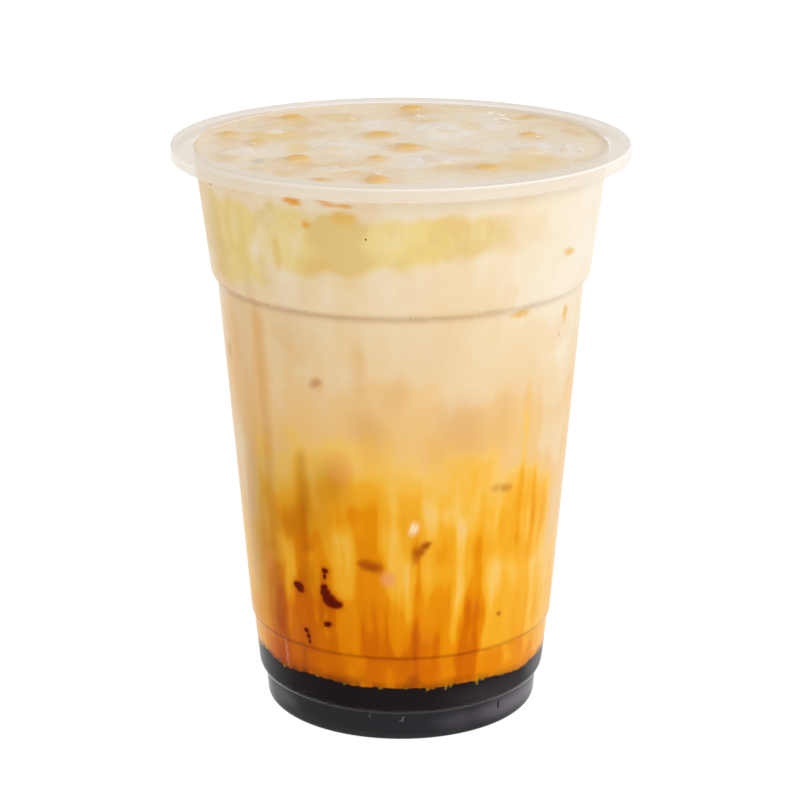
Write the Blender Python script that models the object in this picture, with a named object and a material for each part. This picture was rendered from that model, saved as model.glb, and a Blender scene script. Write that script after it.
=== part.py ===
"""Iced milk tea in a clear cup.

The cup is one thin moulding with a foot, a stacking ledge and a rim flange.
It holds three layers of drink, dark at the bottom, then amber, then milky,
with ice and round amber jelly beads floating at the surface.
Metres, +Z up. The origin is at the middle of the cup's underside.
"""

import math
import random

import bmesh
import bpy
from mathutils import Matrix, Vector

MM = 0.001
SEGMENTS = 64
MERGE = 0.00001

# Cup, outer sizes
HEIGHT = 122.1 * MM
RIM_RADIUS = 47.5 * MM
WALL = 0.8 * MM
FLANGE_THICKNESS = 1.0 * MM
SKIRT_DEPTH = 2.75 * MM
SKIRT_WALL = 0.9 * MM
NECK_RADIUS = 43.1 * MM

FOOT_RADIUS = 29.1 * MM
FOOT_TOP_RADIUS = 29.6 * MM
FOOT_HEIGHT = 6.7 * MM
FOOT_RING_INNER = 25.6 * MM
HEEL = 1.2 * MM
RECESS_DEPTH = 1.9 * MM
FLOOR_HEIGHT = 2.8 * MM

SHOULDER_RADIUS = 31.1 * MM
SHOULDER_RISE = 2.2 * MM
BAND_RADIUS = 32.2 * MM
BAND_HEIGHT = 19.7 * MM
BAND_STEP = 0.4 * MM
BAND_STEP_RISE = 0.3 * MM

LEDGE_HEIGHT = 94.0 * MM
LEDGE_RISE = 2.3 * MM
LEDGE_LOWER_RADIUS = 38.6 * MM
LEDGE_UPPER_RADIUS = 39.95 * MM
ARC_STEPS = 3

# Drink
GAP = 0.3 * MM
LAYER_GAP = 0.6 * MM
DRINK_LEVEL = 121.0 * MM
DARK_TOP = 12.9 * MM
AMBER_TOP = 44.0 * MM
CUT_CLEARANCE = 0.4 * MM
RING_FRACTIONS = (0.35, 0.65, 0.86, 1.0)

# Low and high places of the dark layer's top at the cup's wall: angle from the front in degrees
# (right positive), rise in mm, half width in degrees.
DARK_SPOTS = ((31, -0.6, 7), (50, -0.45, 18), (-14, 0.6, 11), (-70, 1.1, 11))

# Tongues of the amber layer at the cup's wall: angle from the front in degrees
# (right positive), rise in mm (negative where milk hangs down), half width in degrees.
TONGUES = (
    (-68, 6, 9), (-44, -10, 7), (-28, 12, 9), (-14, 8, 7), (-2, -11, 7),
    (11, 5, 7), (21, -13, 7), (34, 3, 7), (48, 14, 7), (66, -6, 9),
    (88, 9, 10), (112, -9, 9), (134, 11, 10), (158, -7, 10),
    (-88, -8, 8), (-110, 10, 10), (-134, -9, 9), (-158, 8, 10),
)

# Ice at the surface: x, y, half length, half width (mm), turn (degrees), height above the drink (mm)
ICE = (
    (8.5, 15.0, 6.2, 7.6, -12, 0.6),
    (-12.8, -3.0, 5.6, 6.4, -20, 0.5),
    (7.2, -16.5, 4.8, 5.8, 10, 0.55),
    (25.0, -4.0, 4.8, 6.4, 8, 0.6),
    (-33.0, -8.5, 4.4, 5.2, 15, 0.45),
    (-27.0, 13.0, 4.4, 4.2, -20, 0.55),
    (21.5, 21.5, 4.2, 4.0, 30, 0.6),
    (-13.5, -25.0, 5.2, 4.2, 25, 0.4),
    (35.0, -5.0, 3.0, 4.2, -10, 0.6),
)
ICE_DEPTH = 9.0 * MM
ICE_SQUARENESS = 3.6
ICE_WAVE = 0.035
ICE_CUTS = 2
ICE_SEED = 11

# Amber jelly beads at the surface: x, y, half length, half width (mm), height above the drink (mm).
# They lie flattened, as soft jelly does.
BEADS = (
    (-36.2, 10.5, 2.8, 2.6, 0.8),
    (-23.6, 27.6, 4.0, 3.4, 1.1),
    (-29.8, 3.0, 2.9, 2.6, 0.7),
    (-20.7, -15.0, 3.9, 3.6, 1.05),
    (-4.6, 9.4, 4.9, 4.2, 1.0),
    (1.3, -3.6, 4.5, 4.1, 0.95),
    (-5.0, -14.4, 2.7, 2.4, 0.75),
    (-4.8, -34.8, 3.1, 5.2, 1.05),
    (17.2, -23.6, 4.3, 3.6, 0.95),
    (27.0, 9.4, 2.7, 2.4, 0.8),
    (2.4, 38.4, 3.4, 2.6, 1.1),
    (-15.5, -35.5, 2.6, 2.3, 0.7),
)
BEAD_FLATTENING = 0.72
BEAD_DETAIL = 2

# Colours as seen, red, green, blue out of 255
CUP_COLOUR = (236, 232, 228)
DARK_COLOUR = (32, 27, 27)
AMBER_COLOUR = (222, 140, 30)
MILK_COLOUR = (233, 208, 160)
ICE_COLOUR = (238, 228, 214)
BEAD_COLOUR = (228, 180, 100)


def clear_scene():
    for item in list(bpy.data.objects):
        bpy.data.objects.remove(item, do_unlink=True)


def linear(colour):
    """Turns a colour as seen into the linear values that a shader takes."""
    values = [channel / 255 for channel in colour]
    curve = [v / 12.92 if v <= 0.04045 else ((v + 0.055) / 1.055) ** 2.4 for v in values]
    return (*curve, 1.0)


def material(name, colour, roughness, alpha=1.0, ior=1.45):
    made = bpy.data.materials.new(name)
    made.use_nodes = True
    shader = made.node_tree.nodes["Principled BSDF"]
    shader.inputs["Base Color"].default_value = linear(colour)
    shader.inputs["Roughness"].default_value = roughness
    shader.inputs["Metallic"].default_value = 0.0
    shader.inputs["IOR"].default_value = ior
    shader.inputs["Alpha"].default_value = alpha
    made.diffuse_color = (*linear(colour)[:3], alpha)
    return made


def add_object(name, mesh, surface):
    mesh.materials.clear()
    mesh.materials.append(surface)
    mesh.shade_smooth()
    mesh.set_sharp_from_angle(angle=math.radians(38))
    made = bpy.data.objects.new(name, mesh)
    bpy.context.collection.objects.link(made)
    return made


def mesh_from(bm, name):
    bmesh.ops.recalc_face_normals(bm, faces=bm.faces)
    mesh = bpy.data.meshes.new(name)
    bm.to_mesh(mesh)
    bm.free()
    return mesh


def arc(start, end, steps):
    """Quarter-wave arc from one (radius, height) point to another, without its start."""
    points = []
    for step in range(1, steps + 1):
        turn = math.pi / 2 * step / steps
        radius = start[0] + (end[0] - start[0]) * math.sin(turn)
        height = start[1] + (end[1] - start[1]) * (1 - math.cos(turn))
        points.append((radius, height))
    return points


def wall_outline():
    """Outer side of the cup's wall from the foot's top to the neck, bottom to top."""
    foot_top = (FOOT_TOP_RADIUS, FOOT_HEIGHT)
    shoulder = (SHOULDER_RADIUS, FOOT_HEIGHT + SHOULDER_RISE)
    band_top = (BAND_RADIUS, BAND_HEIGHT)
    band_step = (BAND_RADIUS + BAND_STEP, BAND_HEIGHT + BAND_STEP_RISE)
    ledge_low = (LEDGE_LOWER_RADIUS, LEDGE_HEIGHT)
    ledge_high = (LEDGE_UPPER_RADIUS, LEDGE_HEIGHT + LEDGE_RISE)
    neck = (NECK_RADIUS, HEIGHT - FLANGE_THICKNESS)
    outline = [foot_top] + arc(foot_top, shoulder, ARC_STEPS)
    outline += [band_top, band_step, ledge_low]
    outline += arc(ledge_low, ledge_high, ARC_STEPS)
    outline.append(neck)
    return outline


def outer_radius(height):
    """Radius of the wall's outer side at a height."""
    outline = [(FOOT_RADIUS, HEEL)] + wall_outline()
    if height <= outline[0][1]:
        return outline[0][0]
    for (low_r, low_z), (high_r, high_z) in zip(outline, outline[1:]):
        if height <= high_z:
            share = (height - low_z) / (high_z - low_z)
            return low_r + (high_r - low_r) * share
    return outline[-1][0]


def content_radius(height):
    """Radius that what fills the cup reaches at a height, narrower where the floor curves up."""
    floor_curve = max(0.0, FLOOR_HEIGHT + HEEL - height)
    return outer_radius(height) - WALL - floor_curve - GAP


def cup_profile():
    """The cup's whole section, from the floor's middle round to the underside's middle."""
    inner_foot = [(0, FLOOR_HEIGHT), (FOOT_RADIUS - WALL - HEEL, FLOOR_HEIGHT)]
    inner_foot.append((FOOT_RADIUS - WALL, FLOOR_HEIGHT + HEEL))
    inner_wall = [(radius - WALL, height) for radius, height in wall_outline()[:-1]]
    lip = FLANGE_THICKNESS * 0.5
    mouth = [
        (NECK_RADIUS - WALL, HEIGHT - lip),
        (NECK_RADIUS - WALL + lip * 0.5, HEIGHT),
    ]
    flange = [
        (RIM_RADIUS - lip * 0.6, HEIGHT),
        (RIM_RADIUS, HEIGHT - lip),
        (RIM_RADIUS, HEIGHT - SKIRT_DEPTH),
        (RIM_RADIUS - SKIRT_WALL, HEIGHT - SKIRT_DEPTH),
        (RIM_RADIUS - SKIRT_WALL, HEIGHT - FLANGE_THICKNESS),
    ]
    outer_wall = wall_outline()[::-1]
    foot = [
        (FOOT_RADIUS, HEEL),
        (FOOT_RADIUS - 0.3 * HEEL, 0.25 * HEEL),
        (FOOT_RADIUS - HEEL, 0),
        (FOOT_RING_INNER, 0),
        (FOOT_RING_INNER - HEEL, RECESS_DEPTH),
        (0, RECESS_DEPTH),
    ]
    return inner_foot + inner_wall + mouth + flange + outer_wall + foot


def make_cup(surface):
    bm = bmesh.new()
    corners = [bm.verts.new((radius, 0, height)) for radius, height in cup_profile()]
    for first, second in zip(corners, corners[1:]):
        bm.edges.new((first, second))
    mesh = bpy.data.meshes.new("cup")
    bm.to_mesh(mesh)
    bm.free()
    cup = add_object("cup", mesh, surface)
    turn = cup.modifiers.new("turned", "SCREW")
    turn.axis = "Z"
    turn.steps = SEGMENTS
    turn.render_steps = SEGMENTS
    turn.use_merge_vertices = True
    turn.merge_threshold = MERGE
    turn.use_smooth_shade = True
    return cup


def bell(degrees, place, width):
    """1 at one angle round the cup, fading to nothing on both sides of it."""
    apart = (degrees - place + 180) % 360 - 180
    return math.exp(-(apart / width) ** 2)


def dark_surface(angle, share):
    """Height of the top of the dark layer. share is 0 at the axis and 1 at the wall."""
    degrees = math.degrees(angle) + 90
    ripple = 0.45 * math.sin(5 * angle + 0.6) + 0.3 * math.sin(11 * angle)
    for place, rise, width in DARK_SPOTS:
        ripple += rise * bell(degrees, place, width)
    return DARK_TOP + ripple * share * MM


def amber_surface(angle, share):
    """Height of the top of the amber layer, with tongues that grow towards the wall."""
    degrees = math.degrees(angle) + 90
    height = 0.0
    for place, rise, width in TONGUES:
        height += rise * bell(degrees, place, width)
    return AMBER_TOP + height * share ** 2 * MM


def drink_surface(angle, share):
    """Height of the top of the drink, a little uneven."""
    ripple = 0.16 * math.sin(3 * angle + 9 * share) + 0.12 * math.sin(5 * angle - 14 * share)
    return DRINK_LEVEL + ripple * share * MM


def skin(bm, inner, outer, facing_up):
    """Triangles between two rings, always split along the same diagonal."""
    count = len(outer)
    for step in range(count):
        after = (step + 1) % count
        if len(inner) == 1:
            corners = [(inner[0], outer[step], outer[after])]
        else:
            corners = [
                (inner[step], outer[step], outer[after]),
                (inner[step], outer[after], inner[after]),
            ]
        for triangle in corners:
            bm.faces.new(triangle if facing_up else triangle[::-1])


def surface_rings(bm, height_at, lift):
    """Rings of points over a layer's surface, the middle point first."""
    rings = [[bm.verts.new((0, 0, height_at(0, 0) + lift))]]
    for share in RING_FRACTIONS:
        ring = []
        for step in range(SEGMENTS):
            angle = 2 * math.pi * step / SEGMENTS
            height = height_at(angle, share) + lift
            radius = share * content_radius(height_at(angle, 1) + lift)
            ring.append(bm.verts.new((radius * math.cos(angle), radius * math.sin(angle), height)))
        rings.append(ring)
    return rings


def make_layer(name, bottom_at, top_at, wall_heights, lift, surface):
    """A layer of drink: a lower surface, rows up the wall and an upper surface."""
    bm = bmesh.new()
    lower = surface_rings(bm, bottom_at, lift)
    upper = surface_rings(bm, top_at, 0)
    for inner, outer in zip(lower, lower[1:]):
        skin(bm, inner, outer, False)
    for inner, outer in zip(upper, upper[1:]):
        skin(bm, inner, outer, True)
    rows = [lower[-1]]
    for height in wall_heights:
        radius = content_radius(height)
        turns = [2 * math.pi * step / SEGMENTS for step in range(SEGMENTS)]
        rows.append([bm.verts.new((radius * math.cos(a), radius * math.sin(a), height)) for a in turns])
    rows.append(upper[-1])
    for below, above in zip(rows, rows[1:]):
        skin(bm, above, below, True)
    return add_object(name, mesh_from(bm, name), surface)


def flat_bottom(angle, share):
    return FLOOR_HEIGHT + GAP


def wall_heights_between(low, high):
    """Heights of the wall's bends between two heights."""
    heights = [FLOOR_HEIGHT + GAP + HEEL] + [height for _, height in wall_outline()]
    return [height for height in heights if low < height < high]


def lump_mesh(name, half_sizes, place, turn, grow, rng):
    """A rounded, slightly uneven block, made larger all round by grow."""
    bm = bmesh.new()
    bmesh.ops.create_cube(bm, size=2)
    bmesh.ops.subdivide_edges(bm, edges=bm.edges, cuts=ICE_CUTS, use_grid_fill=True)
    waves = [rng.uniform(0, 2 * math.pi) for _ in range(3)]
    for vert in bm.verts:
        size = sum(abs(value) ** ICE_SQUARENESS for value in vert.co) ** (1 / ICE_SQUARENESS)
        way = vert.co / size
        bump = 1 + ICE_WAVE * sum(math.sin(4 * way[axis] + waves[axis]) for axis in range(3))
        vert.co = Vector([way[axis] * half_sizes[axis] * bump for axis in range(3)])
    bm.normal_update()
    moves = [vert.normal * grow for vert in bm.verts]
    for vert, move in zip(bm.verts, moves):
        vert.co += move
    bmesh.ops.transform(bm, matrix=Matrix.Rotation(turn, 4, "Z"), verts=bm.verts)
    bmesh.ops.transform(bm, matrix=Matrix.Translation(place), verts=bm.verts)
    return mesh_from(bm, name)


def bead_mesh(name, half_sizes, place, grow):
    bm = bmesh.new()
    bmesh.ops.create_icosphere(bm, subdivisions=BEAD_DETAIL, radius=1)
    sizes = [half + grow for half in half_sizes]
    bmesh.ops.scale(bm, vec=sizes, verts=bm.verts)
    bmesh.ops.transform(bm, matrix=Matrix.Translation(place), verts=bm.verts)
    return mesh_from(bm, name)


def make_ice(index, grow, surface):
    x, y, half_x, half_y, turn, above = ICE[index]
    name = f"ice_{index + 1:02d}"
    half_z = ICE_DEPTH / 2
    place = Vector((x * MM, y * MM, DRINK_LEVEL + above * MM - half_z))
    sizes = (half_x * MM, half_y * MM, half_z)
    rng = random.Random(ICE_SEED + index)
    mesh = lump_mesh(name, sizes, place, math.radians(turn), grow, rng)
    return add_object(name if grow == 0 else name + "_cut", mesh, surface)


def make_bead(index, grow, surface):
    x, y, half_x, half_y, above = BEADS[index]
    name = f"amber_bead_{index + 1:02d}"
    half_z = min(half_x, half_y) * BEAD_FLATTENING * MM
    place = Vector((x * MM, y * MM, DRINK_LEVEL + above * MM - half_z))
    mesh = bead_mesh(name, (half_x * MM, half_y * MM, half_z), place, grow)
    return add_object(name if grow == 0 else name + "_cut", mesh, surface)


def cut_round(body, cutters):
    """Takes the cutters out of the body and then removes them."""
    group = bpy.data.collections.new("cutters")
    bpy.context.scene.collection.children.link(group)
    for cutter in cutters:
        bpy.context.collection.objects.unlink(cutter)
        group.objects.link(cutter)
        cutter.hide_render = True
        cutter.display_type = "WIRE"
    cut = body.modifiers.new("cut", "BOOLEAN")
    cut.operation = "DIFFERENCE"
    cut.operand_type = "COLLECTION"
    cut.collection = group
    graph = bpy.context.evaluated_depsgraph_get()
    result = bpy.data.meshes.new_from_object(body.evaluated_get(graph))
    body.modifiers.remove(cut)
    body.data = result
    for cutter in cutters:
        bpy.data.objects.remove(cutter, do_unlink=True)
    bpy.data.collections.remove(group)


def main():
    clear_scene()
    cup_surface = material("cup_clear", CUP_COLOUR, 0.12, alpha=0.3, ior=1.49)
    dark_surface_look = material("dark_drink", DARK_COLOUR, 0.2)
    amber_surface_look = material("amber_drink", AMBER_COLOUR, 0.25)
    milk_surface_look = material("milk_drink", MILK_COLOUR, 0.3)
    ice_surface = material("ice", ICE_COLOUR, 0.1, alpha=0.6, ior=1.31)
    bead_surface = material("amber_jelly", BEAD_COLOUR, 0.15, alpha=0.9)

    make_cup(cup_surface)
    dark_rows = wall_heights_between(FLOOR_HEIGHT + GAP, DARK_TOP - 1.5 * MM)
    make_layer("dark_layer", flat_bottom, dark_surface, dark_rows, 0, dark_surface_look)
    amber_rows = wall_heights_between(DARK_TOP + 2 * MM, AMBER_TOP - 18 * MM)
    make_layer("amber_layer", dark_surface, amber_surface, amber_rows, GAP, amber_surface_look)
    milk_rows = wall_heights_between(AMBER_TOP + 18 * MM, DRINK_LEVEL - 1 * MM)
    milk = make_layer("milk_layer", amber_surface, drink_surface, milk_rows, LAYER_GAP, milk_surface_look)

    cutters = [make_ice(index, CUT_CLEARANCE, ice_surface) for index in range(len(ICE))]
    cutters += [make_bead(index, CUT_CLEARANCE, bead_surface) for index in range(len(BEADS))]
    cut_round(milk, cutters)
    for index in range(len(ICE)):
        make_ice(index, 0, ice_surface)
    for index in range(len(BEADS)):
        make_bead(index, 0, bead_surface)


main()
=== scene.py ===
"""Looks of an iced milk tea in a clear cup.

The drink is opaque and streaky, so its colours are painted by rules on the pieces
that touch the cup's wall. The cup is a thin, faintly milky moulding round them.
"""

import math
import random

import bmesh
import bpy
import numpy as np
from mathutils import Matrix, Vector


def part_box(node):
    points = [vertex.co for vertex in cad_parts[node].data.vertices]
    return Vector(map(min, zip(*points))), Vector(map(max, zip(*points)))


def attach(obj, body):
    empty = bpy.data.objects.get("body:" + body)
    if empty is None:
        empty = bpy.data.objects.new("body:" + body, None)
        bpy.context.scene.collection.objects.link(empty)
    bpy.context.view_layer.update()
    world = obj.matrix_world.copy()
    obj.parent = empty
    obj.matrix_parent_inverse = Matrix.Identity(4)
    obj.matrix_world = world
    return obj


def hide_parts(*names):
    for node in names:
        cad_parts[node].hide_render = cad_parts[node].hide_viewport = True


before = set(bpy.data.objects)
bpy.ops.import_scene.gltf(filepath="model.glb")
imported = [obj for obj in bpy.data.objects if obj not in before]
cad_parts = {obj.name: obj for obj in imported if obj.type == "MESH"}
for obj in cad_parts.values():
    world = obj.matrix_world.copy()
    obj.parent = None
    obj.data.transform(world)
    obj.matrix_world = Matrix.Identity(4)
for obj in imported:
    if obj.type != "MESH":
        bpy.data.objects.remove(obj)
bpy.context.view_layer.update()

MM = 0.001
_, CUP_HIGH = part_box("cup")
HEIGHT = CUP_HIGH[2]
RIM_RADIUS = CUP_HIGH[0]

# Cup wall, as in the solid
WALL = 0.8 * MM
FLANGE_THICKNESS = 1.0 * MM
SKIRT_DEPTH = 2.75 * MM
SKIRT_WALL = 0.9 * MM
NECK_RADIUS = 43.1 * MM
FOOT_RADIUS = 29.1 * MM
FOOT_TOP_RADIUS = 29.6 * MM
FOOT_HEIGHT = 6.7 * MM
FOOT_RING_INNER = 25.6 * MM
HEEL = 1.2 * MM
RECESS_DEPTH = 1.9 * MM
FLOOR_HEIGHT = 2.8 * MM
SHOULDER_RADIUS = 31.1 * MM
SHOULDER_RISE = 2.2 * MM
BAND_RADIUS = 32.2 * MM
BAND_HEIGHT = 19.7 * MM
BAND_STEP = 0.4 * MM
BAND_STEP_RISE = 0.3 * MM
LEDGE_HEIGHT = 94.0 * MM
LEDGE_RISE = 2.3 * MM
LEDGE_LOWER_RADIUS = 38.6 * MM
LEDGE_UPPER_RADIUS = 39.95 * MM
# Roundings of the brim, the flange and its skirt
LIP = 0.5 * FLANGE_THICKNESS
RIM_FLAT = 2.2 * MM
RIM_EDGE = 0.35 * MM
SKIRT_EDGE = 0.2 * MM
SKIRT_EASE = 0.25 * MM
NECK_EASE = 0.35 * MM
# Fineness of the cup's mesh
CUP_COLUMNS = 256
FINE_STEP = 0.4 * MM
COARSE_STEP = 3.0 * MM

# Drink. Its pieces reach into the wall, short of the outer side by this much.
INTO_WALL = 0.2 * MM
INTO_FLOOR = 0.6 * MM
# How far the drink draws in for each unit of height below the floor's rounding
FLOOR_CURVE = 0.6
DRINK_LEVEL = 121.0 * MM
DARK_TOP = 12.9 * MM
AMBER_TOP = 44.0 * MM
# Rises and dips of a layer's top: angle from the front in degrees, height (mm), width in degrees
DARK_SPOTS = ((31, -0.6, 7), (50, -0.45, 18), (-14, 0.6, 11), (-70, 1.1, 11))
TONGUES = (
    (-68, 6, 9), (-44, -10, 7), (-28, 12, 9), (-14, 8, 7), (-2, -11, 7),
    (11, 5, 7), (21, -13, 7), (34, 3, 7), (48, 14, 7), (66, -6, 9),
    (88, 9, 10), (112, -9, 9), (134, 11, 10), (158, -7, 10),
    (-88, -8, 8), (-110, 10, 10), (-134, -9, 9), (-158, 8, 10),
)
# Fineness of the layers' meshes
COLUMNS = 540
ROW = 0.75 * MM
AMBER_ROW = 0.4 * MM
DARK_ROW = 0.25 * MM
SURFACE_RINGS = 56
INNER_SHARES = (0.3, 0.6, 0.85)

# Ice and beads: x, y, half length, half width (mm), then for ice its turn in degrees,
# and last the height above the drink (mm), as in the solids.
ICE = (
    (8.5, 15, 6.2, 7.6, -12, 0.6), (-12.8, -3, 5.6, 6.4, -20, 0.5), (7.2, -16.5, 4.8, 5.8, 10, 0.55),
    (25, -4, 4.8, 6.4, 8, 0.6), (-33, -8.5, 4.4, 5.2, 15, 0.45), (-27, 13, 4.4, 4.2, -20, 0.55),
    (21.5, 21.5, 4.2, 4, 30, 0.6), (-13.5, -25, 5.2, 4.2, 25, 0.4), (35, -5, 3, 4.2, -10, 0.6),
)
ICE_DEPTH = 9.0 * MM
ICE_SQUARENESS = 3.6
ICE_WAVE = 0.035
ICE_CUTS = 14
ICE_SEED = 11
BEADS = (
    (-36.2, 10.5, 2.8, 2.6, 0.8), (-23.6, 27.6, 4, 3.4, 1.1), (-29.8, 3, 2.9, 2.6, 0.7),
    (-20.7, -15, 3.9, 3.6, 1.05), (-4.6, 9.4, 4.9, 4.2, 1), (1.3, -3.6, 4.5, 4.1, 0.95),
    (-5, -14.4, 2.7, 2.4, 0.75), (-4.8, -34.8, 3.1, 5.2, 1.05), (17.2, -23.6, 4.3, 3.6, 0.95),
    (27, 9.4, 2.7, 2.4, 0.8), (2.4, 38.4, 3.4, 2.6, 1.1), (-15.5, -35.5, 2.6, 2.3, 0.7),
)
BEAD_DETAIL = 5

# Streaks in the drink at the wall: angle from the front in degrees (right positive), lower and
# upper end (mm), half width in degrees, and how much more amber (negative: more milk).
STREAKS = (
    (-51, 43, 62, 4.5, -0.05), (-43, 52, 66, 6, -0.09), (-30, 41, 50, 4, -0.04),
    (-43, 30, 43, 2.8, -0.2), (-31.5, 33, 43, 2, -0.12), (-21, 33, 48, 3.6, -0.07),
    (-10.5, 13, 47, 5.6, 0.02), (-1, 34, 50, 4, -0.08), (3.6, 28, 43, 1.8, -0.08),
    (9, 18, 32, 2.6, -0.05), (5.4, 13, 38, 1.2, 0.05), (8, 36, 46, 2.6, -0.04),
    (21, 28, 50, 1.8, -0.16), (19, 24, 33, 1.2, -0.07), (10.5, 46, 55, 2.6, -0.09),
    (26, 13, 33, 4.2, 0.12), (38, 19, 40, 6, -0.15), (50, 14, 38, 7, -0.14), (20, 53, 63, 5, 0.06),
    (44.5, 42, 78, 1.2, 0.08), (51.5, 40, 61, 1.1, 0.07), (29, 50, 63, 6, 0.05), (-12, 50, 60, 6, 0.08),
    (-23, 48, 60, 4, 0.07), (-64, 18, 70, 6, -0.06), (-50, 14, 30, 5, -0.03), (40, 44, 60, 4, 0.06),
    (-27, 13, 30, 5, 0.04), (-34, 13, 28, 4, -0.04), (-46, 43, 60, 8, -0.05), (-26, 50, 62, 6, -0.04),
    (34, 42, 48, 8, 0.05), (15, 40, 50, 6, 0.05), (47, 12, 19.5, 12, 0.06), (-57, 12, 17.5, 8, 0.09),
    (-60, 20, 30, 5, -0.07), (-50, 31, 44, 3.4, -0.05), (-49.5, 20, 37, 3.4, 0.07),
    (-41, 22, 30, 4, -0.05), (-15, 48, 54, 9, 0.05), (60, 56, 84, 9, -0.08), (46, 48, 60, 9, 0.06),
    (6, 34, 43, 0.8, 0.05), (20, 32, 38, 3, -0.05), (-12, 84, 103, 7, 0.04), (-50, 72, 98, 3.6, 0.05),
    (58, 13, 19, 8, 0.06),
)
# Inner and outer end of the fade of a haze and of a light, as shares of its half size
HAZE_FADE = (0.1, 1.7)
LIGHT_FADE = (0.1, 1.6)
# Brownish haze at the wall, partly the drink's own tint and partly painted shade on its left side:
# angle, height, width and height (mm), tilt in degrees, strength
BROWN_HAZES_AND_SHADE = (
    (-49.8, 62, 3.8, 76, 0, 0.45), (-35.5, 47, 6.4, 13, 0, 0.35), (-33.8, 54, 3.6, 16, 4, 0.6),
    (-30, 29.5, 6, 9, 0, 0.25), (-34.3, 62, 2.6, 5, 0, 0.4), (-28.5, 51.5, 6, 13, 0, 0.4),
    (-21, 58, 6, 9, 0, 0.45), (20, 70, 11, 13, 30, 0.36), (12, 66, 6, 9, 0, 0.25),
    (-10, 70, 7, 12, 20, 0.35), (-27, 79.5, 3.4, 3, 20, 0.3), (-60, 76, 12, 44, 0, 0.3),
    (-13, 82, 3, 18, 0, 0.18), (8, 88, 14, 10, 0, 0.12), (-51, 19, 5, 16, 0, 0.9),
    (-66, 34, 8, 40, 0, 0.4), (-2, 78, 5, 9, -20, 0.2), (34, 71, 5, 12, 0, 0.2),
    (-36, 88, 8, 10, 0, 0.15),
)
# Shade at the wall, in the same form
SHADES = (
    (-44, 53, 22, 24, 0, 0.17), (-58, 41, 10, 38, 0, 0.34), (-34.5, 53, 4, 15, 0, 0.2),
    (-34.3, 62, 2.2, 4.4, 0, 0.16), (-42, 47, 8, 5, 0, 0.15), (-34, 36.5, 4, 7, 0, 0.28),
    (-50, 28, 6, 20, 0, 0.24), (-25, 59, 7, 9, 0, 0.2),
)
# Painted highlights on the foot's plastic, in the same form
FOOT_HIGHLIGHTS = (
    (56, 4, 24, 4.6, 0, 0.11), (26, 3.8, 12, 4, 0, 0.035), (-57, 4.4, 8, 3.4, 0, 0.05),
    (100, 4.5, 12, 6, 0, 0.05), (66, 10.4, 8, 5, 0, 0.05), (37, 9.2, 20, 6, 0, 0.02),
    (150, 4, 9, 6, 0, 0.06), (-150, 4.5, 12, 6, 0, 0.05), (-104, 4, 8, 6, 0, 0.06),
)
# Height (mm) and strength of the painted highlight line at the foot's shoulder, and how bright the syrup
# is
SHOULDER_LINE = 6.7
SHOULDER_HIGHLIGHT = 0.012
SYRUP_TONE = 0.013
# Heights or radii (mm) over which the look of one part of the plastic gives way to another
FOOT_FADE = (6.4, 7.8)
SHOULDER_FADE = (6, 6.8)
RING_FADE = (23, 24.4)
NECK_FADE = (42.9, 43.4)
SKIRT_FADE = (118.6, 119.4)
EDGE_FADE = (47, 47.3)
# How milky the plastic is: on the drink, at the foot, in its ring, on the bare wall, on the flange,
# below it, and more at its outer edge, where the extra whiteness is a painted highlight
CLEAR_HAZE = 0.0006
FOOT_HAZE = 0.01
RING_HAZE = 0.98
WALL_HAZE = 0.7
FLANGE_HAZE = 0.58
SKIRT_HAZE = 0.44
EDGE_HAZE = 0.42
# Amber wisps that hang into the dark layer: angle, depth (mm), half width in degrees
WISPS = (
    (10.2, 1, 0.7), (12.4, 0.9, 0.5), (17.4, 0.9, 0.8), (19.6, 1.1, 0.6), (30.6, 1.1, 1),
    (33, 0.7, 0.8), (-8, 0.25, 0.8), (-22, 0.3, 0.7), (-34, 0.3, 0.9), (-52, 0.7, 1.2), (2, 0.4, 1),
    (43, 0.6, 0.8), (58, 0.7, 1), (85, 0.9, 1.2), (104, 0.6, 1), (131, 0.9, 1), (160, 0.7, 1.2),
    (-176, 0.9, 1), (-150, 0.6, 1), (-124, 0.9, 1.1), (-98, 0.6, 1), (-75, 0.7, 0.9),
)
# Streaks thinner than this, in degrees, hang nearly straight. All fade over this height (mm).
THIN = 2.5
STREAK_FADE = 2.5
# The drink's share of amber by height (mm), and the least share in its lower part
AMBER_BY_HEIGHT = (
    (12, 0.78), (16, 0.77), (22, 0.76), (30, 0.72), (38, 0.67), (46, 0.62), (54, 0.53), (60, 0.45),
    (66, 0.39), (73, 0.33), (82, 0.27), (94, 0.2), (105, 0.15), (120, 0.13),
)
LEAST_AMBER = 0.3
# Painted light: how much paler the drink is towards its left and right silhouette, where light shows
# through
SIDE_LIGHT_FADES = (0.26, 0.21)
# Painted shade along the creases at the ledge and at the band's step: height and half width (mm)
LEDGE_CREASE = (94.1, 0.75)
STEP_CREASE = (19.9, 0.42)
# Height of the burnt edge above the dark layer (mm)
BURNT_EDGE = 1.9
# Random streaks on the side that faces away, over these degrees. Each kind: the draw that it ends
# at, then the ranges of lower end and length (mm), half width in degrees, and how much more amber.
BACK_START = 80
BACK_SPAN = 200
BACK_STREAKS = 38
BACK_SEED = 5
BACK_KINDS = (
    (0.45, (14, 26), (14, 34), (2.5, 6.5), (0.08, 0.17)),
    (0.85, (26, 34), (10, 20), (2, 5), (-0.16, -0.06)),
    (1, (30, 45), (20, 45), (1, 2.4), (0.12, 0.2)),
)

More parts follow.
